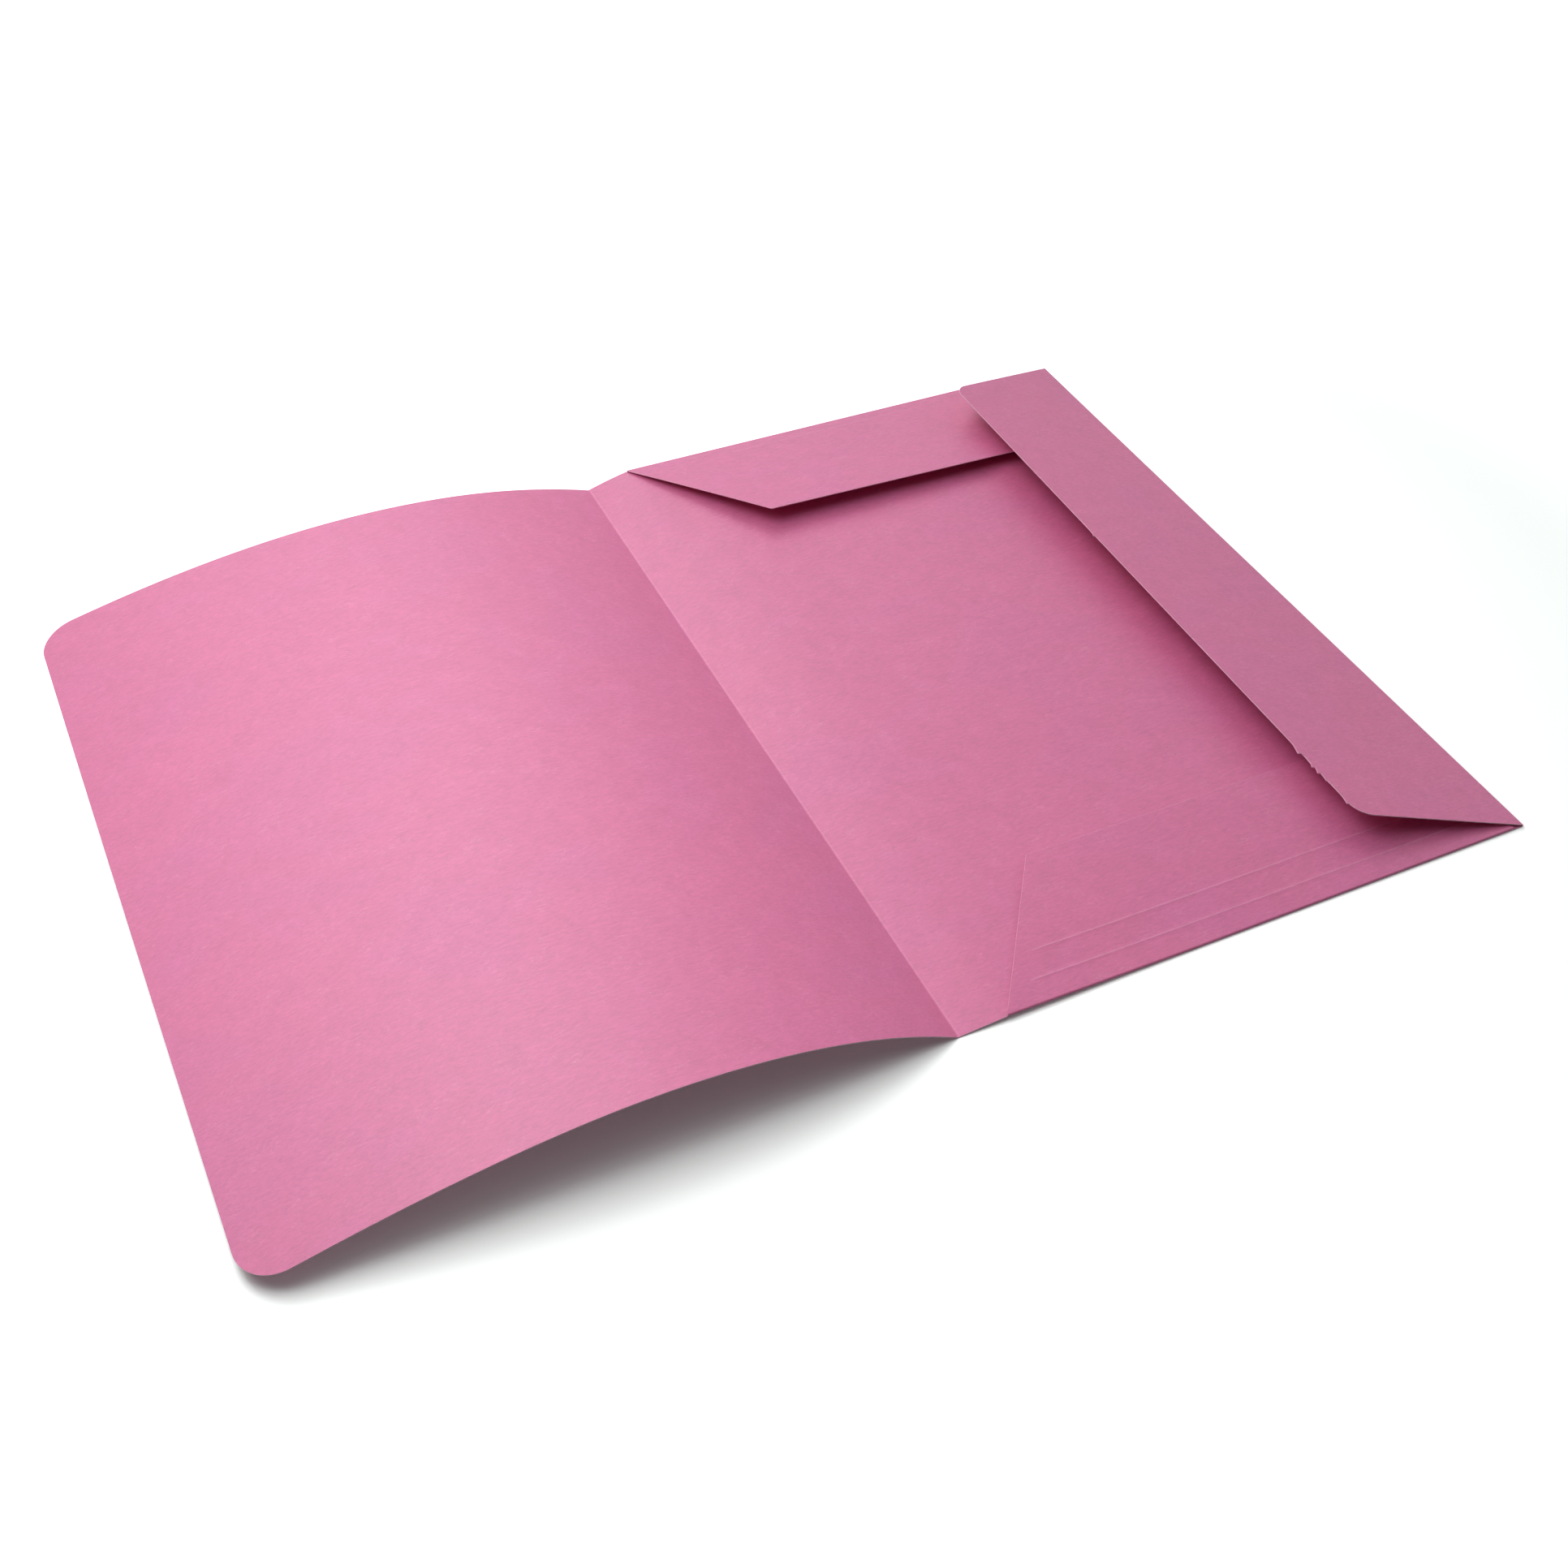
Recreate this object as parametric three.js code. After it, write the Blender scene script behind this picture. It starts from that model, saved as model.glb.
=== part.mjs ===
import * as THREE from 'three';

// A three flap document folder of plain pink card, lying open on a table.
// One creased sheet: a bowed front cover, a spine crease, and a back panel whose
// top, bottom and side flaps are folded in over it and have sprung up a little.
// Millimetres. The spine crease runs along Y at x = 0 and the table is z = 0,
// until the finished folder is centred on its footprint.

// The card
const cardThickness = 0.4;
const foldGap = 0.3; // air inside a fold, between its two layers
const seam = 0.3; // clearance between neighbouring pieces of the sheet

// The two panels
const folderHeight = 320;
const coverWidth = 226; // spine crease to free edge, along the card
const coverCornerRadius = 14;
const backWidth = 217; // spine crease to the side fold
const spineMargin = 17.3; // spine crease to where the top and bottom flaps begin
const spineCreaseWidth = 1.6;

// How the cover bows: slopes of the card at the spine, half way and at the free edge
const coverTopDegrees = [20.3, -1.7, -13.6];
const coverBottomDegrees = [31.2, -2.1, -14.5];

// How the back panel lifts beside the spine, before it settles flat on the table
const liftAtTop = 4.2;
const liftAtBottom = 1.3;
const settlingHeight = 0.5; // height over which the lift fades into the flat part
const marginBulgeShare = 0.25; // how much the rise beside the spine is rounded
const easyRiseLength = 46; // the longer, softer rise away from the top and bottom folds
const foldStiffReach = 70; // how far in from its top and bottom edge a fold stiffens the card

// The flaps: depth from the fold, and how far they have sprung up at the start of the
// fold, half way along and at its end
const topFlapDepth = 58;
const topFlapDegrees = [8, 5.85, 3.7];
const bottomFlapDepth = 55.9;
const bottomFlapDegrees = [2.9, 2.65, 2.4];
const bottomFlapBow = [0.6, 0.3, 0]; // height of the bow between its fold and free edge
const sideFlapDepth = 58;
const sideFlapDegrees = [12.2, 13.9, 15.6];

// The flaps' ends
const topFlapSetback = 39.5; // how far the angled ends run back by the free edge
const bottomFlapSetback = 38.4;
const farEndRelief = 4; // side fold to where the top and bottom folds stop
const sideFlapSetback = 18.4;
const flapTipRadius = 1;
const sideFlapTipRadius = 8;

// Score lines pressed into the top and bottom flaps, for a thicker filling
const topFlapScores = { distances: [5.8], height: 0.05 };
const bottomFlapScores = { distances: [8.4, 18.8], height: 0.12 };
const scoreWidth = 1;
const scoreEndMargin = 5;

const foldOuterRadius = foldGap / 2 + cardThickness;
const pink = 0xd9799f;

const lerp = THREE.MathUtils.lerp;
const radians = THREE.MathUtils.degToRad;

// Evenly spaced numbers from start to end, both included.
function steps(start, end, count) {
  return Array.from({ length: count + 1 }, (_, i) => lerp(start, end, i / count));
}

// The parabola through a value at the start, one half way and one at the end.
function through([start, middle, end], share) {
  const linear = 4 * middle - 3 * start - end;
  const square = 2 * start - 4 * middle + 2 * end;
  return start + linear * share + square * share * share;
}

// A closed skin between two grids of points, one for each face of the card.
function sheetGeometry(rowCount, columnCount, facePoints) {
  const points = [];
  for (let i = 0; i <= rowCount; i++) {
    for (let j = 0; j <= columnCount; j++) {
      const { under, over } = facePoints(i, j);
      points.push(under.x, under.y, under.z, over.x, over.y, over.z);
    }
  }
  const under = (i, j) => 2 * (i * (columnCount + 1) + j);
  const over = (i, j) => under(i, j) + 1;
  const index = [];
  const quad = (a, b, c, d) => index.push(a, b, c, a, c, d);
  for (let i = 0; i < rowCount; i++) {
    for (let j = 0; j < columnCount; j++) {
      quad(over(i, j), over(i + 1, j), over(i + 1, j + 1), over(i, j + 1));
      quad(under(i, j), under(i, j + 1), under(i + 1, j + 1), under(i + 1, j));
    }
    quad(under(i, 0), under(i + 1, 0), over(i + 1, 0), over(i, 0));
    quad(over(i, columnCount), over(i + 1, columnCount), under(i + 1, columnCount), under(i, columnCount));
  }
  for (let j = 0; j < columnCount; j++) {
    quad(over(0, j), over(0, j + 1), under(0, j + 1), under(0, j));
    quad(under(rowCount, j), under(rowCount, j + 1), over(rowCount, j + 1), over(rowCount, j));
  }
  const geometry = new THREE.BufferGeometry();
  geometry.setAttribute('position', new THREE.Float32BufferAttribute(points, 3));
  geometry.setIndex(index);
  if (signedVolume(points, index) < 0) {
    index.reverse();
    geometry.setIndex(index);
  }
  geometry.computeVertexNormals();
  return geometry;
}

function signedVolume(points, index) {
  let sum = 0;
  const corner = (n) => new THREE.Vector3(...points.slice(3 * n, 3 * n + 3));
  for (let i = 0; i < index.length; i += 3) {
    const [a, b, c] = [corner(index[i]), corner(index[i + 1]), corner(index[i + 2])];
    sum += a.dot(b.cross(c)) / 6;
  }
  return sum;
}

// Height of the back panel's underside. It climbs from the spine crease to the start
// of the flaps, then falls away along a slanting line to lie flat on the table.
function panelHeight(x, y) {
  const beyond = Math.max(x, spineMargin);
  const across = (beyond - spineMargin) / (backWidth - spineMargin);
  const slope = liftAtTop * (1 - across) - (liftAtTop - liftAtBottom) * (1 - y / folderHeight);
  let height = Math.max(slope, 0);
  if (Math.abs(slope) < settlingHeight) {
    height = (slope + settlingHeight) ** 2 / (4 * settlingHeight);
  }
  return height * riseShare(x, y);
}

// Share of its full height that the panel has reached at a distance from the spine crease.
// Between the stiff folds the card climbs over a longer way and without a bend.
function riseShare(x, y) {
  const near = Math.min(x / spineMargin, 1);
  const byFolds = near * (1 + marginBulgeShare - marginBulgeShare * near);
  const left = 1 - Math.min(x / easyRiseLength, 1);
  const betweenFolds = 1 - left * left;
  const fromEdge = Math.min(y, folderHeight - y);
  return lerp(byFolds, betweenFolds, THREE.MathUtils.smoothstep(fromEdge, 0, foldStiffReach));
}

// Slope of the cover at a share of its width.
function coverSlope(share, y) {
  const slopes = coverBottomDegrees.map((low, i) =>
    lerp(low, coverTopDegrees[i], y / folderHeight));
  return radians(through(slopes, share));
}

// Point on the cover's upper face, reached by walking out along the bowed card.
function coverPoint(distance, y) {
  const walkSteps = 48;
  const stride = distance / walkSteps;
  const upper = new THREE.Vector3(0, y, cardThickness);
  for (let i = 0; i < walkSteps; i++) {
    const slope = coverSlope(((i + 0.5) * stride) / coverWidth, y);
    upper.x -= Math.cos(slope) * stride;
    upper.z += Math.sin(slope) * stride;
  }
  const slope = coverSlope(distance / coverWidth, y);
  const under = upper.clone();
  under.x -= Math.sin(slope) * cardThickness;
  under.z -= Math.cos(slope) * cardThickness;
  return { under, over: upper };
}

function panelPoint(x, y) {
  const height = panelHeight(x, y);
  return {
    under: new THREE.Vector3(x, y, height),
    over: new THREE.Vector3(x, y, height + cardThickness),
  };
}

// How far a rounded corner cuts in at a distance short of the edge it meets.
function cornerInset(distance, radius) {
  const into = Math.max(radius - distance, 0);
  return radius - Math.sqrt(radius * radius - into * into);
}

// Distances out from the spine crease, closer together along the rounded corners.
function coverStations() {
  const straightRows = 22;
  const cornerRows = 7;
  const cornerStart = coverWidth - coverCornerRadius;
  const straight = steps(spineCreaseWidth / 2 + seam, cornerStart, straightRows);
  const bend = steps(0, Math.PI / 2, cornerRows).slice(1);
  return straight.concat(bend.map((angle) => cornerStart + coverCornerRadius * Math.sin(angle)));
}

function coverGeometry() {
  const stations = coverStations();
  const columns = 12;
  return sheetGeometry(stations.length - 1, columns, (i, j) => {
    const inset = cornerInset(coverWidth - stations[i], coverCornerRadius);
    return coverPoint(stations[i], lerp(inset, folderHeight - inset, j / columns));
  });
}

function backPanelGeometry() {
  const start = spineCreaseWidth / 2 + seam;
  const end = backWidth - foldOuterRadius - seam;
  const foldStart = spineMargin - seam;
  const foldEnd = backWidth - farEndRelief + seam;
  const marginRows = 6;
  const foldedRows = 20;
  const stations = [
    ...steps(start, foldStart, marginRows),
    ...steps(foldStart + seam / 2, foldEnd - seam / 2, foldedRows),
    foldEnd,
    end,
  ];
  const columns = 20;
  return sheetGeometry(stations.length - 1, columns, (i, j) => {
    const x = stations[i];
    const folded = x > foldStart && x < foldEnd;
    const edge = folded ? foldOuterRadius + seam : 0;
    return panelPoint(x, lerp(edge, folderHeight - edge, j / columns));
  });
}

// The valley between the cover and the back panel.
function spineCreaseGeometry() {
  const half = spineCreaseWidth / 2;
  const columns = 12;
  return sheetGeometry(2, columns, (i, j) => {
    const y = lerp(0, folderHeight, j / columns);
    if (i === 0) {
      return coverPoint(half, y);
    }
    return panelPoint((i - 1) * half, y);
  });
}

// A fold: where its line runs, which way is out of the folder, and the flap's lift.
// The centre is the middle of the bent card's inner bend.
const topFold = {
  length: [spineMargin, backWidth - farEndRelief],
  out: new THREE.Vector3(0, 1, 0),
  edge: (a) => new THREE.Vector3(a, folderHeight, panelHeight(a, folderHeight)),
  lift: (a) => through(topFlapDegrees, a / backWidth),
};
const bottomFold = {
  length: [spineMargin, backWidth - farEndRelief],
  out: new THREE.Vector3(0, -1, 0),
  edge: (a) => new THREE.Vector3(a, 0, panelHeight(a, 0)),
  lift: (a) => through(bottomFlapDegrees, a / backWidth),
};
const sideFold = {
  length: [0, folderHeight],
  out: new THREE.Vector3(1, 0, 0),
  edge: (a) => new THREE.Vector3(backWidth, a, panelHeight(backWidth, a)),
  lift: (a) => through(sideFlapDegrees, a / folderHeight),
};

function foldCentre(fold, a) {
  const centre = fold.edge(a).addScaledVector(fold.out, -foldOuterRadius);
  centre.z += foldOuterRadius;
  return centre;
}

// The half round of card in a fold, from the panel's edge round to the flap's.
function creaseGeometry(fold) {
  const [start, end] = fold.length;
  const bendSteps = 10;
  const columns = 16;
  return sheetGeometry(bendSteps, columns, (i, j) => {
    const a = lerp(start, end, j / columns);
    const turn = lerp(-Math.PI / 2, Math.PI / 2 - radians(fold.lift(a)), i / bendSteps);
    const radial = fold.out.clone().multiplyScalar(Math.cos(turn));
    radial.z = Math.sin(turn);
    const centre = foldCentre(fold, a);
    return {
      under: centre.clone().addScaledVector(radial, foldGap / 2),
      over: centre.clone().addScaledVector(radial, foldOuterRadius),
    };
  });
}

// Point on a flap at a place along its fold and a distance in from the fold.
function flapPoint(fold, a, distance, raise) {
  const lift = radians(fold.lift(a));
  const along = fold.out.clone().multiplyScalar(-Math.cos(lift));
  along.z = Math.sin(lift);
  const up = fold.out.clone().multiplyScalar(Math.sin(lift));
  up.z = Math.cos(lift);
  const under = foldCentre(fold, a).addScaledVector(along, distance);
  under.addScaledVector(up, foldGap / 2 + raise);
  return { under, over: under.clone().addScaledVector(up, cardThickness) };
}

// How far a flap's slanting end has run back at a distance from the fold,
// with the corner that it makes with the free edge rounded.
function endInset(distance, depth, setback, radius) {
  const slant = setback / depth;
  const stretch = Math.hypot(1, slant);
  const centreDistance = depth - radius;
  const centreInset = slant * centreDistance + radius * stretch;
  if (distance <= centreDistance + (radius * slant) / stretch) {
    return slant * distance;
  }
  const beyond = distance - centreDistance;
  return centreInset - Math.sqrt(Math.max(radius * radius - beyond * beyond, 0));
}

// Distances from the fold, closer together along the rounded corners.
function flapStations(depth, setback, radius, straightRows, cornerRows) {
  const slant = setback / depth;
  const cornerStart = Math.asin(slant / Math.hypot(1, slant));
  const bend = steps(cornerStart, Math.PI / 2, cornerRows);
  const round = bend.map((angle) => depth - radius + radius * Math.sin(angle));
  return steps(seam, round[0], straightRows).slice(0, -1).concat(round);
}

function scoreStations(scores, depth) {
  const half = scoreWidth / 2;
  const stations = scores.distances.flatMap((d) => [d - half, d, d + half]);
  return stations.filter((d) => d < depth - flapTipRadius);
}

// Height of the pressed score lines above the rest of the flap.
function scoreRaise(scores, distance, alongFromEnd) {
  if (alongFromEnd < scoreEndMargin) {
    return 0;
  }
  const near = scores.distances.map((d) => 1 - Math.abs(distance - d) / (scoreWidth / 2));
  return scores.height * Math.max(0, ...near);
}

// The top or bottom flap: a long leaf with both ends cut at a slant.
function endFlapGeometry(fold, { depth, setback, scores, bow = [0, 0, 0] }) {
  const straightRows = 8;
  const cornerRows = 3;
  const plain = flapStations(depth, setback, flapTipRadius, straightRows, cornerRows);
  const stations = [...plain, ...scoreStations(scores, depth)].sort((p, q) => p - q);
  const [start, end] = fold.length;
  const columns = 18;
  return sheetGeometry(stations.length - 1, columns, (i, j) => {
    const distance = stations[i];
    const inset = endInset(distance, depth, setback, flapTipRadius);
    const a = lerp(start + inset, end - inset, j / columns);
    const pressed = scoreRaise(scores, distance, a - start - inset);
    const bowed = through(bow, a / backWidth) * Math.sin((Math.PI * distance) / depth);
    return flapPoint(fold, a, distance, bowed + pressed);
  });
}

function sideFlapGeometry() {
  const straightRows = 7;
  const cornerRows = 7;
  const stations = flapStations(
    sideFlapDepth, sideFlapSetback, sideFlapTipRadius, straightRows, cornerRows);
  const columns = 16;
  return sheetGeometry(stations.length - 1, columns, (i, j) => {
    const inset = endInset(stations[i], sideFlapDepth, sideFlapSetback, sideFlapTipRadius);
    const [start, end] = sideFold.length;
    return flapPoint(sideFold, lerp(start + inset, end - inset, j / columns), stations[i], 0);
  });
}

function cardMaterial() {
  return new THREE.MeshStandardMaterial({ color: pink, roughness: 0.85, metalness: 0 });
}

function piece(name, geometry) {
  const mesh = new THREE.Mesh(geometry, cardMaterial());
  mesh.name = name;
  return mesh;
}

const group = new THREE.Group();
group.name = 'three_flap_folder';
group.add(piece('front_cover', coverGeometry()));
group.add(piece('spine_crease', spineCreaseGeometry()));
group.add(piece('back_panel', backPanelGeometry()));
group.add(piece('top_crease', creaseGeometry(topFold)));
group.add(piece('top_flap', endFlapGeometry(topFold, {
  depth: topFlapDepth,
  setback: topFlapSetback,
  scores: topFlapScores,
})));
group.add(piece('bottom_crease', creaseGeometry(bottomFold)));
group.add(piece('bottom_flap', endFlapGeometry(bottomFold, {
  depth: bottomFlapDepth,
  setback: bottomFlapSetback,
  scores: bottomFlapScores,
  bow: bottomFlapBow,
})));
group.add(piece('side_crease', creaseGeometry(sideFold)));
group.add(piece('side_flap', sideFlapGeometry()));

// Centre the folder on its footprint.
const box = new THREE.Box3().setFromObject(group);
const footprint = box.getCenter(new THREE.Vector3());
for (const mesh of group.children) {
  mesh.geometry.translate(-footprint.x, -footprint.y, -box.min.z);
}

export default group;
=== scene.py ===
import math
from functools import lru_cache

import bmesh
import bpy
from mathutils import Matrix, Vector, noise


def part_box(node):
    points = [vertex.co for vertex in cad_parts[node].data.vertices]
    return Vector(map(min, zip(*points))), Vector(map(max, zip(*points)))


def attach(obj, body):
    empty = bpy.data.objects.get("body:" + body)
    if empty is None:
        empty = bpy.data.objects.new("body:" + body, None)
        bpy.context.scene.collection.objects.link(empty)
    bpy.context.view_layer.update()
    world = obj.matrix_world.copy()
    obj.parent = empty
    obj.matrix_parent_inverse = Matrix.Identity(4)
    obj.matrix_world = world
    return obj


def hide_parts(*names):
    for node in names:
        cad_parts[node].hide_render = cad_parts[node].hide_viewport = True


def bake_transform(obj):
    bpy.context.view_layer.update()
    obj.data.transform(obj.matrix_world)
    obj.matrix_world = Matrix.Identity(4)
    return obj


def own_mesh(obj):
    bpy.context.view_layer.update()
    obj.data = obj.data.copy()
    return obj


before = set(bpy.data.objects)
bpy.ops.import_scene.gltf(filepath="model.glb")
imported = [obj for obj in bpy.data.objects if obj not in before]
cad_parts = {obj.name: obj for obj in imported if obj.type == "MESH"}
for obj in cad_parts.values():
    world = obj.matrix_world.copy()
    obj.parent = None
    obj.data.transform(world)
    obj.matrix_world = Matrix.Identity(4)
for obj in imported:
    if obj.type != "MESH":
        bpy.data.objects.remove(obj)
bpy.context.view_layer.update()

# A three flap folder of pink card, lying open on a table.
# Every piece is cut flat in millimetres and then bent to its place.
# Until the last step x runs out from the spine and y up from the folder's bottom edge.

mm = 0.001
card = {
    "thickness": 0.4, "foldGap": 0.3, "edgeRound": 0.07, "roundSteps": 2,
    "grid": 3.2,                             # between the lines along which a blank can bend
    "foldRun": 0.06,                         # straight card at both ends of a fold's strip
    "foldSteps": 12,
    "slit": 0.1,                             # space beside the folds
    "tiny": 0.001,
}
# The last two values place a thin painted highlight along the crease, on the panel's side beyond
# this distance.
spine = {"half": 0.8, "steps": 8, "lineHighlightFrom": 0.4, "lineHighlight": 0.1}

foldRadius = card["foldGap"] / 2 + card["thickness"]
foldTurn = math.pi * foldRadius
panelLow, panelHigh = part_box("back_panel")
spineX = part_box("spine_crease")[1].x / mm - spine["half"]
bottomY = panelLow.y / mm
height = (panelHigh.y - panelLow.y) / mm


def lerp(a, b, share):
    return a + (b - a) * share


def ease(value):
    value = max(0, min(1, value))
    return value * value * (3 - 2 * value)


# The parabola through a value at the start, one half way and one at the end.
def through(start, middle, end, share):
    linear = 4 * middle - 3 * start - end
    square = 2 * start - 4 * middle + 2 * end
    return start + linear * share + square * share * share


def evenly(start, end, grid):
    count = max(1, round((end - start) / grid))
    return [lerp(start, end, step / count) for step in range(1, count)]


def rowPoint(x, y, z):
    return ((x + spineX) * mm, (y + bottomY) * mm, z * mm)


def roundCorner(bm, corner, radius, steps):
    sides = [(edge.other_vert(corner).co - corner.co).normalized() for edge in corner.link_edges]
    reach = radius / math.tan(sides[0].angle(sides[1]) / 2)
    bmesh.ops.bevel(
        bm, geom=[corner], offset=reach, offset_type="OFFSET", affect="VERTICES",
        segments=steps, profile=0.5, material=-1,
    )


# A flat blank of card: outline with rounded corners, its thickness, and softened cut edges.
# Its sides at the places in foldsAt are folds, where the card goes on in the next piece.
def cutBlank(outline, rounded=(), foldsAt=()):
    tiny = card["tiny"]
    bm = bmesh.new()
    corners = [bm.verts.new((u, v, 0)) for u, v in outline]
    bm.faces.new(corners)
    for index, radius, steps in rounded:
        roundCorner(bm, corners[index], radius, steps)
    made = bmesh.ops.extrude_face_region(bm, geom=bm.faces[:], use_keep_orig=True)
    under = [item for item in made["geom"] if isinstance(item, bmesh.types.BMVert)]
    bmesh.ops.translate(bm, vec=(0, 0, -card["thickness"]), verts=under)
    bmesh.ops.recalc_face_normals(bm, faces=bm.faces[:])

    def onFold(edge):
        return any(
            all(abs(vert.co[axis] - place) < tiny for vert in edge.verts)
            for axis, place in foldsAt
        )

    def level(edge):
        return abs(edge.verts[0].co.z - edge.verts[1].co.z) < tiny

    rim = [edge for edge in bm.edges if level(edge) and not onFold(edge)]
    bmesh.ops.bevel(
        bm, geom=rim, offset=card["edgeRound"], offset_type="OFFSET", affect="EDGES",
        segments=card["roundSteps"], profile=0.5, material=-1,
    )
    return bm


# Cuts lines into the blank, along which it can bend.
def cutLines(bm, axis, places):
    normal = Vector((axis == 0, axis == 1, 0))
    for place in places:
        bmesh.ops.bisect_plane(
            bm, geom=bm.verts[:] + bm.edges[:] + bm.faces[:], dist=card["tiny"] / 10,
            plane_co=normal * place, plane_no=normal,
        )


# Bends the blank with a function of u, v and depth, and makes it a piece in metres.
# A face attribute paints highlights: 1 on cut edges, and a smaller share along the lines that the
# last argument gives.
def bendToPlace(bm, name, shape, lineHighlight=lambda u, v: 0):
    bm.normal_update()
    highlightPaint = bm.faces.layers.float.new("highlightPaint")
    cut = {face: abs(face.normal.z) < 0.99 for face in bm.faces}
    for face in bm.faces:
        middle = face.calc_center_median()
        face[highlightPaint] = 1.0 if cut[face] else float(lineHighlight(middle.x, middle.y))
        face.smooth = True
    for edge in bm.edges:
        edge.smooth = len({cut[face] for face in edge.link_faces}) == 1
    for vert in bm.verts:
        vert.co = shape(*vert.co)
    bmesh.ops.translate(bm, vec=(spineX, bottomY, 0), verts=bm.verts[:])
    bmesh.ops.scale(bm, vec=(mm, mm, mm), verts=bm.verts[:])
    bmesh.ops.recalc_face_normals(bm, faces=bm.faces[:])
    mesh = bpy.data.meshes.new(name)
    bm.to_mesh(mesh)
    bm.free()
    piece = bpy.data.objects.new(name, mesh)
    bpy.context.scene.collection.objects.link(piece)
    print("made", name, len(mesh.polygons), "faces")
    return piece


# A value, colour or vector in a shader, with Python's operators for numbers.
class Field:
    def __init__(self, tree, socket=None):
        self.tree = tree
        self.socket = socket

    # Adds a node: its settings first, then the values or links of its sockets.
    def add(self, kind, settings=None, inputs=None, output=0):
        node = self.tree.nodes.new(kind)
        for name, value in (settings or {}).items():
            setattr(node, name, value)
        for name, value in (inputs or {}).items():
            if isinstance(value, Field):
                self.tree.links.new(value.socket, node.inputs[name])
            else:
                node.inputs[name].default_value = value
        return Field(self.tree, node.outputs[output] if node.outputs else None)

    def math(self, operation, *values):
        return self.add("ShaderNodeMath", {"operation": operation}, dict(enumerate(values)))

    def __add__(self, other):
        return self.math("ADD", self, other)

    __radd__ = __add__

    def __sub__(self, other):
        return self.math("SUBTRACT", self, other)

    def __rsub__(self, other):
        return self.math("SUBTRACT", other, self)

    def __mul__(self, other):
        return self.math("MULTIPLY", self, other)

    # A smooth step from 0 at low to 1 at high.
    def between(self, low, high):
        return self.add(
            "ShaderNodeMapRange", {"interpolation_type": "SMOOTHSTEP"},
            {"Value": self, "From Min": low, "From Max": high},
        )

    # The same place stretched: each number is a scale along one axis.
    def stretched(self, scales, offset=(0, 0, 0)):
        return self.add(
            "ShaderNodeMapping", {"vector_type": "POINT"},
            {"Vector": self, "Scale": scales, "Location": offset},
        )

    def noise(self, scale, detail=3, roughness=0.55, distortion=0):
        return self.add(
            "ShaderNodeTexNoise", {},
            {
                "Vector": self, "Scale": scale, "Detail": detail,
                "Roughness": roughness, "Distortion": distortion,
            },
        )

    def mixed(self, first, second):
        return self.add(
            "ShaderNodeMix", {"data_type": "RGBA", "blend_type": "MIX"},
            {0: self, 6: first, 7: second}, output=2,
        )

    def length(self):
        return self.add("ShaderNodeVectorMath", {"operation": "LENGTH"}, {0: self}, output=1)

    def shaded(self, strength):
        return self.add(
            "ShaderNodeVectorMath", {"operation": "SCALE"}, {0: self, "Scale": strength}
        )


def colour(red, green, blue):
    return (red, green, blue, 1)


cardLook = {
    "pink": colour(0.665, 0.155, 0.325),
    "violet": colour(0.640, 0.152, 0.342),
    "rose": colour(0.690, 0.160, 0.318),
    # The next colour paints highlights on cut edges, pressed lines and the spine crease; its share
    # is given after the fibres.
    "highlightColour": colour(0.95, 0.66, 0.78),
    "fibre": colour(0.80, 0.36, 0.50),
    "cloudSize": 48, "patchSize": 8,         # mm
    "grainAlong": 2.8, "grainAcross": 0.8,   # mm
    "clouds": 0.55, "warmth": 0.4, "fibres": 0.26, "highlightShare": 0.65,
    "grain": 0.4, "fine": 0.24, "patches": 0.2,
    "relief": 0.06, "reliefStrength": 0.4,   # mm, and its share
    "roughness": 0.48, "unevenRoughness": 0.14, "specular": 0.65,
}


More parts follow.
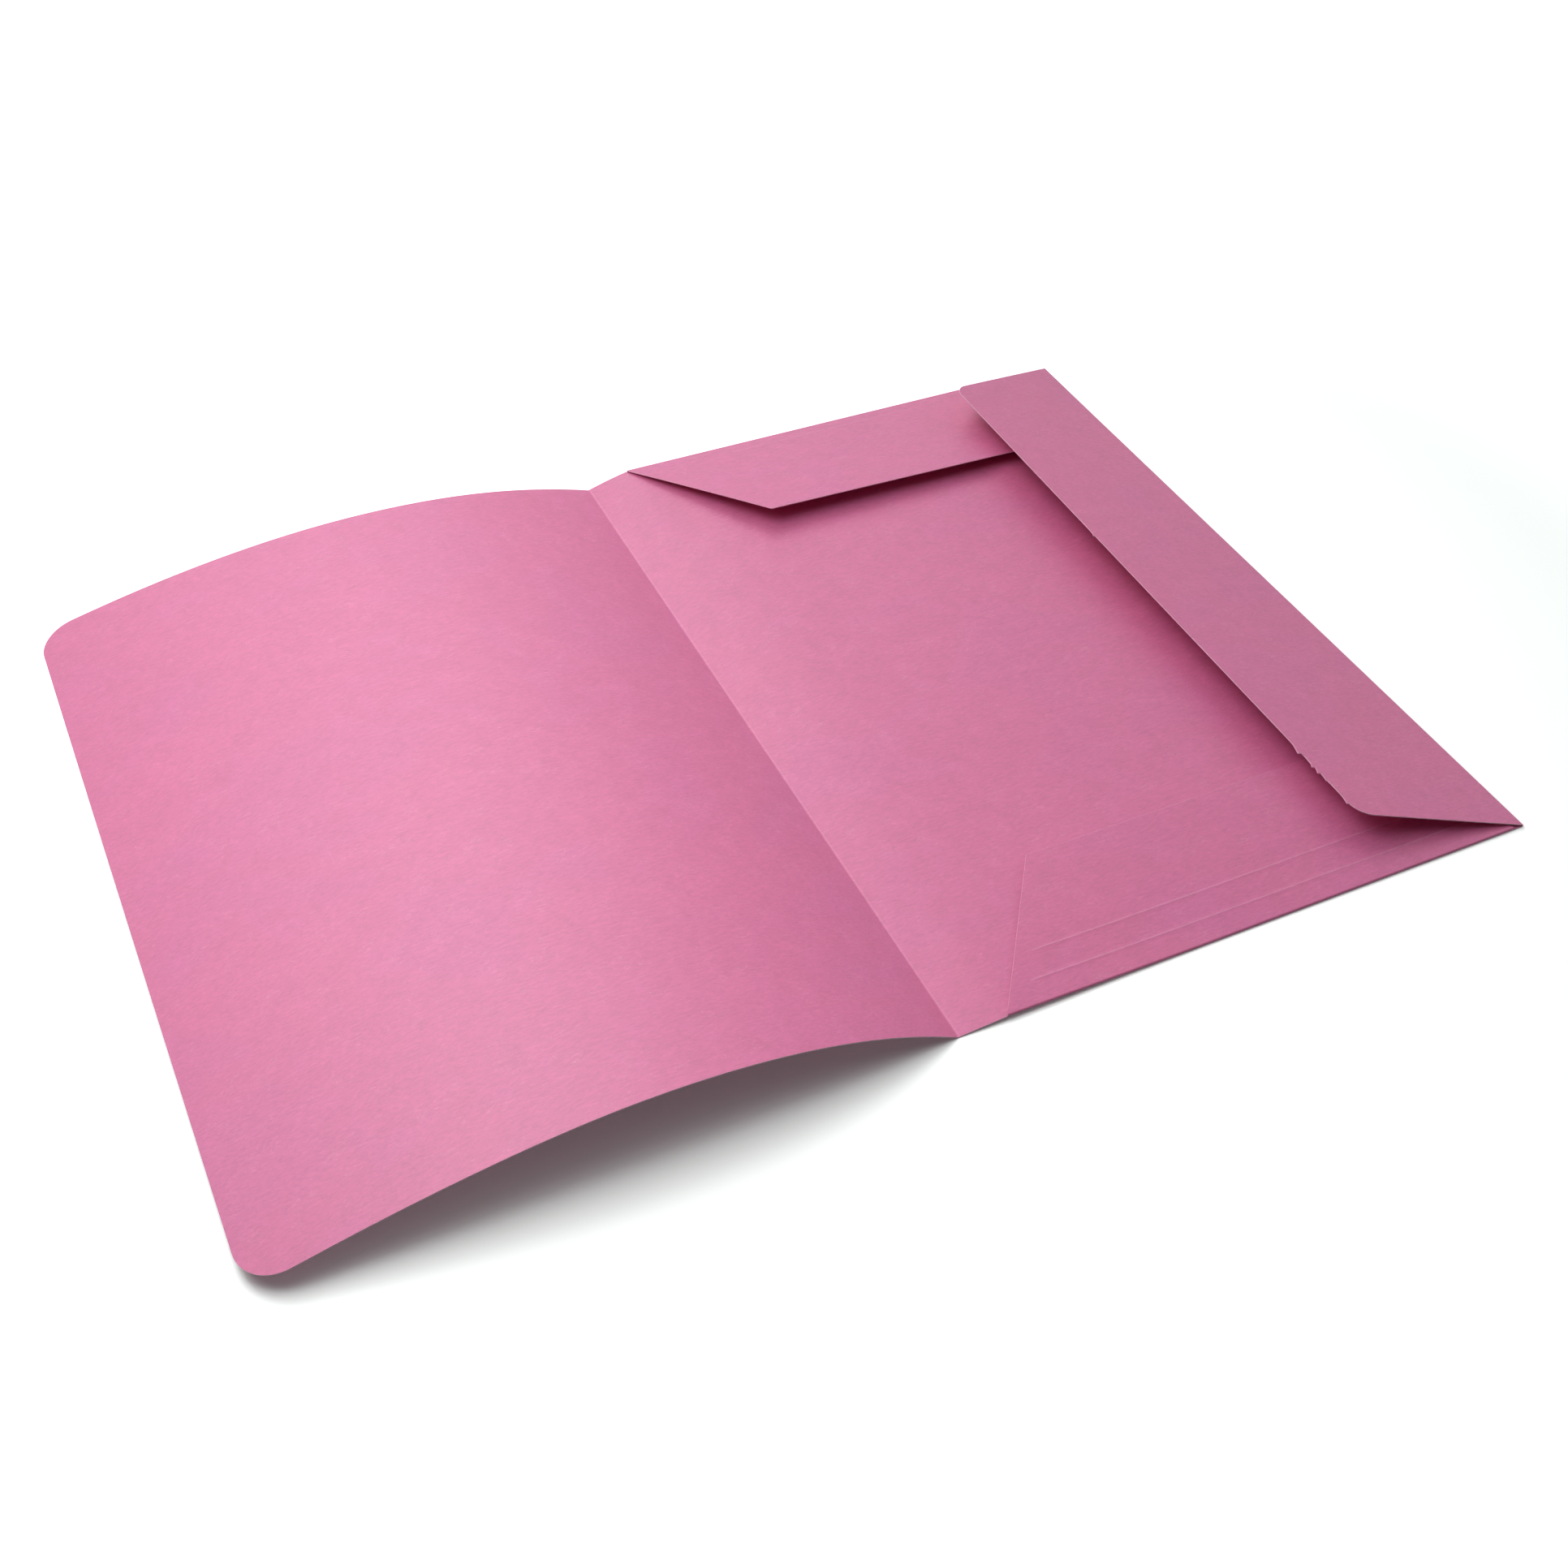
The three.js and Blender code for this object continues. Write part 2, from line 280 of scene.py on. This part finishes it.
# Dyed card: fine grain along x, drifts of hue and pale fibres here and there, with painted
# highlights on cut edges, pressed lines and the spine crease.
def pinkCard(name, grainSeed):
    look = cardLook
    material = bpy.data.materials.new(name)
    material.use_nodes = True
    tree = material.node_tree
    tree.nodes.clear()
    start = Field(tree)
    objectPlace = start.add("ShaderNodeTexCoord", output="Object")
    place = objectPlace.stretched((1 / mm, 1 / mm, 1 / mm), grainSeed)
    along, across = 1 / look["grainAlong"], 1 / look["grainAcross"]
    grain = place.stretched((along, across, across)).noise(1, 4, 0.6, 0.6)
    fine = place.stretched((along * 2.2, across * 2.4, across * 2.4)).noise(1, 3, 0.7, 0.3)
    clouds = place.stretched((0.7, 1, 1)).noise(1 / look["cloudSize"], 2, 0.5, 0.8)
    patches = place.noise(1 / look["patchSize"], 3, 0.6, 0.5)
    wisps = place.stretched((0.09, 0.34, 0.34)).noise(1, 5, 0.62, 1.6)
    thin = 1 - start.math("ABSOLUTE", wisps - 0.5).between(0.004, 0.014)
    sparse = place.noise(0.13, 2).between(0.5, 0.62)

    bluer = (clouds + (patches - 0.5) * 0.35).between(0.44, 0.66)
    warmer = place.stretched((1, 0.6, 1), (40, 90, 10)).noise(1 / 35, 2).between(0.5, 0.72)
    base = (bluer * look["clouds"]).mixed(look["pink"], look["violet"])
    base = (warmer * look["warmth"]).mixed(base, look["rose"])
    base = (thin * sparse * look["fibres"]).mixed(base, look["fibre"])
    # Painted highlight: paler on cut edges, pressed lines and the spine crease.
    highlightPaint = start.add("ShaderNodeAttribute", {"attribute_name": "highlightPaint"}, output="Fac")
    base = (highlightPaint * look["highlightShare"]).mixed(base, look["highlightColour"])
    streaks = (grain - 0.5) * look["grain"] + (fine - 0.5) * look["fine"]
    base = base.shaded(1 + streaks + (patches - 0.5) * look["patches"])

    relief = start.add(
        "ShaderNodeBump", {},
        {
            "Height": grain * 0.6 + fine * 0.4,
            "Strength": look["reliefStrength"], "Distance": look["relief"] * mm,
        },
    )
    shader = start.add(
        "ShaderNodeBsdfPrincipled", {},
        {
            "Base Color": base,
            "Roughness": look["roughness"] + (fine - 0.5) * look["unevenRoughness"],
            "Normal": relief, "Specular IOR Level": look["specular"],
        },
    )
    start.add("ShaderNodeOutputMaterial", {}, {"Surface": shader})
    return material


def dress(piece, seed, nodes):
    piece.data.materials.append(pinkCard(piece.name + "_card", seed))
    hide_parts(*nodes)


cover = {
    "width": 226, "cornerRadius": 14, "cornerSteps": 18, "grain": (11, 5, 3),
    # slopes at the spine, half way and at the free edge
    "degreesAtTop": (20.3, -1.7, -13.6), "degreesAtBottom": (31.2, -2.1, -14.5),
    "ripple": 0.16, "rippleLength": 55, "rippleStretch": 0.6,
    "rippleFades": (30, 25),                 # by the spine and by the free edge
    "walkSteps": 48, "flatWhenClosed": 0.15,
}


# Slope of the bowed cover at a share of its width.
def coverSlope(share, y):
    ends = zip(cover["degreesAtBottom"], cover["degreesAtTop"])
    slopes = [lerp(low, high, y / height) for low, high in ends]
    return math.radians(through(*slopes, share))


# Where the bowed card's face is at a distance from the spine, in short steps along its slope.
@lru_cache(maxsize=None)
def coverWalk(distance, y):
    stride = distance / cover["walkSteps"]
    x, z = 0, card["thickness"]
    for step in range(cover["walkSteps"]):
        slope = coverSlope((step + 0.5) * stride / cover["width"], y)
        x -= math.cos(slope) * stride
        z += math.sin(slope) * stride
    return x, z


def coverPoint(distance, y, depth):
    x, z = coverWalk(round(distance, 4), round(y, 4))
    slope = coverSlope(distance / cover["width"], y)
    nearFade, farFade = cover["rippleFades"]
    fade = ease(distance / nearFade) * ease((cover["width"] - distance) / farFade)
    wave = noise.noise(Vector((distance, y * cover["rippleStretch"], 0)) / cover["rippleLength"])
    lift = depth + cover["ripple"] * fade * wave
    return Vector((x + math.sin(slope) * lift, y, z + math.cos(slope) * lift))


def makeCover():
    start, end, radius = spine["half"], cover["width"], cover["cornerRadius"]
    outline = [(start, 0), (end, 0), (end, height), (start, height)]
    corners = [(index, radius, cover["cornerSteps"]) for index in (1, 2)]
    bm = cutBlank(outline, corners, foldsAt=[(0, start)])
    cutLines(bm, 0, evenly(start, end, card["grid"]))
    cutLines(bm, 1, evenly(0, height, card["grid"]))
    piece = bendToPlace(bm, "cover_card", coverPoint)
    dress(piece, cover["grain"], ["front_cover"])
    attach(piece, "cover")
    rowPoint(0, 0, card["thickness"])
    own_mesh(piece)


panel = {
    "width": 217, "margin": 17.3, "farRelief": 4, "grain": (0, 0, 0),
    "liftAtTop": 4.2, "liftAtBottom": 1.3, "settling": 0.5, "bulge": 0.25,
    "easyRise": 46, "stiffEnds": 70,         # away from the folds the card rises over a longer way
}
foldSpan = (panel["margin"], panel["width"] - panel["farRelief"])


# Height of the back panel's underside: it lifts beside the spine and settles flat further out.
def panelHeight(x, y):
    beyond = max(x, panel["margin"])
    across = (beyond - panel["margin"]) / (panel["width"] - panel["margin"])
    drop = (panel["liftAtTop"] - panel["liftAtBottom"]) * (1 - y / height)
    slope = panel["liftAtTop"] * (1 - across) - drop
    rest = max(slope, 0)
    if abs(slope) < panel["settling"]:
        rest = (slope + panel["settling"]) ** 2 / (4 * panel["settling"])
    rise = min(x / panel["margin"], 1)
    stiff = rise * (1 + panel["bulge"] - panel["bulge"] * rise)
    supple = 1 - (1 - min(x / panel["easyRise"], 1)) ** 2
    return rest * lerp(stiff, supple, ease(min(y, height - y) / panel["stiffEnds"]))


def panelPoint(x, y, depth):
    return Vector((x, y, panelHeight(x, y) + card["thickness"] + depth))


def makePanel():
    start, folded = spine["half"], foldRadius + card["foldRun"]
    margin, far = foldSpan[0] - card["slit"], foldSpan[1] + card["slit"]
    end = panel["width"] - folded
    lower = [(start, 0), (margin, 0), (margin, folded), (far, folded), (far, 0), (end, 0)]
    upper = [(u, height - v) for u, v in reversed(lower)]
    folds = [(0, start), (0, end), (1, folded), (1, height - folded)]
    bm = cutBlank(lower + upper, foldsAt=folds)
    cutLines(bm, 0, evenly(start, end, card["grid"]))
    cutLines(bm, 1, evenly(0, height, card["grid"]))
    piece = bendToPlace(bm, "panel_card", panelPoint)
    dress(piece, panel["grain"], ["back_panel"])
    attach(piece, "back")


# The valley between the cover and the panel.
def makeSpine():
    half = spine["half"]
    outline = [(-half, 0), (half, 0), (half, height), (-half, height)]
    bm = cutBlank(outline, foldsAt=[(0, -half), (0, half)])
    cutLines(bm, 0, evenly(-half, half, 2 * half / spine["steps"]))
    cutLines(bm, 1, evenly(0, height, card["grid"]))

    def shape(x, y, depth):
        if x < 0:
            return coverPoint(-x, y, depth)
        return panelPoint(x, y, depth)

    # A thin painted highlight runs along the crease on the panel's side.
    piece = bendToPlace(
        bm, "spine_fold_card", shape,
        lineHighlight=lambda x, y: spine["lineHighlight"] * (x > spine["lineHighlightFrom"]),
    )
    dress(piece, panel["grain"], ["spine_crease"])
    rowPoint(half, 0, 0)
    rowPoint(-half, 0, 0)
    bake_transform(piece)


# A flap's lift is in degrees: at the start of its fold, half way and at the end.
def flapLift(flap, a):
    return math.radians(through(*flap["lift"], a / flap["foldLength"]))


def foldCentre(flap, a):
    return flap["foldAt"](a) - flap["out"] * foldRadius + Vector((0, 0, foldRadius))


def flapPoint(flap, distance, a, depth):
    lift = flapLift(flap, a)
    along = Vector((0, 0, math.sin(lift))) - flap["out"] * math.cos(lift)
    up = Vector((0, 0, math.cos(lift))) + flap["out"] * math.sin(lift)
    return foldCentre(flap, a) + along * distance + up * (foldRadius + depth)


# The half round of card in a fold, which runs on straight along the panel and the flap.
def foldPoint(flap, u, a, depth):
    if u > foldTurn:
        return flapPoint(flap, u - foldTurn, a, depth)
    turn = lerp(-math.pi / 2, math.pi / 2 - flapLift(flap, a), max(u, 0) / foldTurn)
    radial = flap["out"] * math.cos(turn) + Vector((0, 0, math.sin(turn)))
    return foldCentre(flap, a) + radial * (foldRadius + depth) + flap["out"] * min(u, 0)


# Height of the lines pressed into a flap.
def scoreRaise(flap, distance, a):
    raised = 0
    for line in flap["scores"]:
        near = ease(1 - abs(distance - line["at"]) / (line["width"] / 2))
        inside = ease((a - line["from"]) / line["fade"]) * ease((line["to"] - a) / line["fade"])
        raised = max(raised, line["height"] * near * inside)
    return raised


# How strong the painted highlight is along a flap's pressed lines.
def scoreHighlight(flap, distance, a):
    lineHighlight = 0
    for line in flap["scores"]:
        onLine = abs(distance - line["at"]) < line["width"] / 4
        if onLine and line["from"] < a < line["to"]:
            lineHighlight = max(lineHighlight, line["lineHighlight"])
    return lineHighlight


# A torn bit starts over a short lead, is cut to a fine grid and reaches this far into the flap.
tearCut = {"lead": 0.15, "grid": 0.4, "reach": 3}


# How far a torn bit of the free edge sticks out at a place along it.
def tearOut(flap, a):
    out = 0
    for tear in flap["tears"]:
        past = (a - tear["at"]) / tear["length"]
        if 0 <= past <= 1:
            out = max(out, tear["out"] * (1 - past))
    return out


def makeFlap(flap):
    start, end = flap["span"]
    depth, setback, near = flap["depth"], flap["setback"], card["foldRun"]
    outline = [(near, start), (depth, start + setback), (depth, end - setback), (near, end)]
    corners = [(index, flap["tipRadius"], flap["tipSteps"]) for index in (1, 2)]
    bm = cutBlank(outline, corners, foldsAt=[(0, near)])
    cutLines(bm, 0, evenly(near, depth, card["grid"]))
    cutLines(bm, 1, evenly(start, end, card["grid"]))
    for line in flap["scores"]:
        half = line["width"] / 2
        cutLines(bm, 0, evenly(line["at"] - half, line["at"] + half, half / 4))
    for tear in flap["tears"]:
        place = tear["at"]
        past = evenly(place, place + tear["length"], tearCut["grid"])
        cutLines(bm, 1, [place - tearCut["lead"], place] + past)

    reach = tearCut["reach"]

    def shape(distance, a, thick):
        torn = tearOut(flap, a) * ease((distance - depth + reach) / reach)
        bow = through(*flap["bow"], a / flap["foldLength"]) * math.sin(math.pi * distance / depth)
        return flapPoint(flap, distance + torn, a, thick + bow + scoreRaise(flap, distance, a))

    piece = bendToPlace(
        bm, flap["name"] + "_flap_card", shape,
        lineHighlight=lambda distance, a: scoreHighlight(flap, distance, a),
    )
    dress(piece, flap["grain"], [flap["name"] + "_flap"])
    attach(piece, flap["body"])


# The card round a fold, in one strip, or in more where the fold isn't straight.
def makeFold(flap):
    first, last = -card["foldRun"], foldTurn + card["foldRun"]
    span, strips = flap["span"], flap["foldStrips"]
    for strip in range(strips):
        start = lerp(*span, strip / strips)
        end = lerp(*span, (strip + 1) / strips)
        outline = [(first, start), (last, start), (last, end), (first, end)]
        inner = [(1, place) for place in (start, end) if place not in span]
        bm = cutBlank(outline, foldsAt=[(0, first), (0, last)] + inner)
        cutLines(bm, 0, [0, foldTurn] + evenly(0, foldTurn, foldTurn / card["foldSteps"]))
        cutLines(bm, 1, evenly(start, end, card["grid"]))
        piece = bendToPlace(
            bm, flap["name"] + "_fold_card_" + str(strip + 1),
            lambda u, a, depth: foldPoint(flap, u, a, depth),
        )
        dress(piece, flap["grain"], [flap["name"] + "_crease"])
        ends = foldCentre(flap, start), foldCentre(flap, end)
        line = (ends[1] - ends[0]).normalized()
        up = (Vector((0, 0, 1)) - line * line.z).normalized() * foldRadius
        middle = (ends[0] + ends[1]) / 2
        rowPoint(*(middle - up))
        rowPoint(*(middle + up))
        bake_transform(piece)


makeCover()
makeSpine()
makePanel()
print("cover, spine and panel made")

topFlap = {
    "name": "top", "body": "top_leaf", "grain": (3, 70, 9),
    "out": Vector((0, 1, 0)), "foldLength": panel["width"], "span": foldSpan, "foldStrips": 1,
    "foldAt": lambda a: Vector((a, height, panelHeight(a, height))),
    "depth": 58, "setback": 39.5, "tipRadius": 1, "tipSteps": 10,
    "lift": (8, 5.85, 3.7), "bow": (0, 0, 0),
    # Each pressed line's last value is the share of a painted highlight along it.
    "scores": [
        {"at": 5.8, "width": 1, "height": 0.04, "from": 62, "to": 150, "fade": 12, "lineHighlight": 0.12},
    ],
    "tears": [],
}
makeFlap(topFlap)
makeFold(topFlap)

bottomFlap = {
    "name": "bottom", "body": "bottom_leaf", "grain": (8, 33, 2),
    "out": Vector((0, -1, 0)), "foldLength": panel["width"], "span": foldSpan, "foldStrips": 3,
    "foldAt": lambda a: Vector((a, 0, panelHeight(a, 0))),
    "depth": 55.9, "setback": 38.4, "tipRadius": 1, "tipSteps": 10,
    "lift": (2.9, 2.65, 2.4), "bow": (0.6, 0.3, 0),
    # Each pressed line's last value is the share of a painted highlight along it.
    "scores": [
        {"at": 8.4, "width": 0.8, "height": 0.07, "from": 30, "to": 200, "fade": 4, "lineHighlight": 0.22},
        {"at": 18.8, "width": 0.8, "height": 0.07, "from": 36, "to": 190, "fade": 4, "lineHighlight": 0.22},
    ],
    "tears": [],
}
makeFlap(bottomFlap)
makeFold(bottomFlap)

sideFlap = {
    "name": "side", "body": "side_leaf", "grain": (21, 6, 14),
    "out": Vector((1, 0, 0)), "foldLength": height, "span": (0, height), "foldStrips": 1,
    "foldAt": lambda a: Vector((panel["width"], a, panelHeight(panel["width"], a))),
    "depth": 58, "setback": 18.4, "tipRadius": 8, "tipSteps": 10,
    "lift": (12.2, 13.9, 15.6), "bow": (0, 0, 0),
    "scores": [],
    "tears": [
        {"at": 51, "length": 5, "out": 1.4},
        {"at": 43.4, "length": 2, "out": 1.2},
        {"at": 40.2, "length": 2.2, "out": 1},
        {"at": 35.8, "length": 2, "out": 0.7},
        {"at": 24, "length": 3.5, "out": 0.8},
        {"at": 187, "length": 2, "out": 0.8},
    ],
}
makeFlap(sideFlap)
makeFold(sideFlap)
print("flaps made")

table = {
    "size": 12, "drop": 0.05, "white": 0.38, "seenWhite": (1.53, 1.59, 1.56), "seenGlow": 0.05,
    # beyond the folder's shadow, between 1 and whiteAt times these half sizes, it turns plain white
    "shadowAlong": 0.33, "shadowAcross": 0.28, "whiteAt": 1.5, "whiteGlow": 0.6,
}


# 1 for the rays that show the white room behind the folder, and 0 for those that light it.
def showingRays(start):
    kinds = ("Is Camera Ray", "Is Glossy Ray", "Is Transmission Ray")
    seen, mirrored, passing = [start.add("ShaderNodeLightPath", output=kind) for kind in kinds]
    return start.math("MAXIMUM", seen, start.math("MAXIMUM", mirrored, passing))


def makeTable():
    bm = bmesh.new()
    bmesh.ops.create_grid(bm, x_segments=1, y_segments=1, size=table["size"] / 2)
    bmesh.ops.translate(bm, vec=(0, 0, -table["drop"] * mm), verts=bm.verts[:])
    mesh = bpy.data.meshes.new("table")
    bm.to_mesh(mesh)
    bm.free()
    top = bpy.data.objects.new("table", mesh)
    bpy.context.scene.collection.objects.link(top)
    material = bpy.data.materials.new("white_table")
    material.use_nodes = True
    tree = material.node_tree
    tree.nodes.clear()
    start = Field(tree)
    seen = showingRays(start)
    white = table["white"]
    plain = seen.mixed(colour(white, white, white), colour(*table["seenWhite"]))
    matt = start.add("ShaderNodeBsdfDiffuse", {}, {"Color": plain})
    objectPlace = start.add("ShaderNodeTexCoord", output="Object")
    away = objectPlace.stretched((1 / table["shadowAlong"], 1 / table["shadowAcross"], 1)).length()
    far = away.between(1, table["whiteAt"])
    glow = start.add(
        "ShaderNodeEmission", {},
        {
            "Color": colour(1, 1, 1),
            "Strength": seen * (table["seenGlow"] + far * table["whiteGlow"]),
        },
    )
    both = start.add("ShaderNodeAddShader", {}, {0: matt, 1: glow})
    start.add("ShaderNodeOutputMaterial", {}, {"Surface": both})
    top.data.materials.append(material)


lamps = {
    "suns": [
        {"name": "back_light", "from": (0, 0.743, 0.669), "softDegrees": 40, "strength": 0.75},
        {"name": "corner_light", "from": (0.314, 0.674, 0.669), "softDegrees": 40, "strength": 0.15},
        {"name": "right_light", "from": (0.819, 0, 0.574), "softDegrees": 50, "strength": 0.38},
    ],
    "panels": [
        {"name": "cover_light", "place": (-0.2, 0.3, 0.6), "size": 0.4, "watts": 1.14},
        {"name": "front_light", "place": (-0.15, -0.05, 0.6), "size": 0.4, "watts": 0.88},
        {"name": "left_light", "place": (-0.35, 0.05, 0.5), "size": 0.4, "watts": 0.86},
        {"name": "top_flap_light", "place": (0.1, 0.5, 0.5), "size": 0.4, "watts": 0.36},
    ],
    "aim": (-0.08, 0, 0),
    "room": 0.04,
}


def addLamp(name, light, place, direction):
    lamp = bpy.data.objects.new(name, light)
    lamp.location = place
    lamp.rotation_euler = direction.to_track_quat("Z", "Y").to_euler()
    bpy.context.scene.collection.objects.link(lamp)


def makeLights():
    for values in lamps["suns"]:
        sun = bpy.data.lights.new(values["name"], "SUN")
        sun.energy = values["strength"]
        sun.angle = math.radians(values["softDegrees"])
        direction = Vector(values["from"])
        addLamp(values["name"], sun, direction, direction)
    for values in lamps["panels"]:
        area = bpy.data.lights.new(values["name"], "AREA")
        area.shape = "SQUARE"
        area.size = values["size"]
        area.energy = values["watts"]
        place = Vector(values["place"])
        addLamp(values["name"], area, place, place - Vector(lamps["aim"]))
    world = bpy.data.worlds.new("white_room")
    world.use_nodes = True
    tree = world.node_tree
    tree.nodes.clear()
    start = Field(tree)
    strength = lamps["room"] + showingRays(start) * (1 - lamps["room"])
    light = start.add(
        "ShaderNodeBackground", {}, {"Color": colour(1, 1, 1), "Strength": strength}
    )
    start.add("ShaderNodeOutputWorld", {}, {"Surface": light})
    bpy.context.scene.world = world


camera = {
    "place": (-205.2, -491.4, 473.3), "aim": (2.0, -34.4, 0), "rollDegrees": -0.54,
    "lens": 45.54, "sensor": 36, "nearest": 0.01, "farthest": 50,
}


def makeCamera():
    lens = bpy.data.cameras.new("photo_view")
    lens.sensor_width = camera["sensor"]
    lens.lens = camera["lens"]
    lens.clip_start = camera["nearest"]
    lens.clip_end = camera["farthest"]
    view = bpy.data.objects.new("photo_view", lens)
    place, aim = Vector(camera["place"]) * mm, Vector(camera["aim"]) * mm
    view.location = place
    view.rotation_euler = (aim - place).to_track_quat("-Z", "Y").to_euler()
    view.rotation_euler.rotate_axis("Z", math.radians(camera["rollDegrees"]))
    bpy.context.scene.collection.objects.link(view)
    bpy.context.scene.camera = view


makeTable()
makeLights()
makeCamera()
bpy.context.scene.view_settings.view_transform = "Standard"
print("stage made")
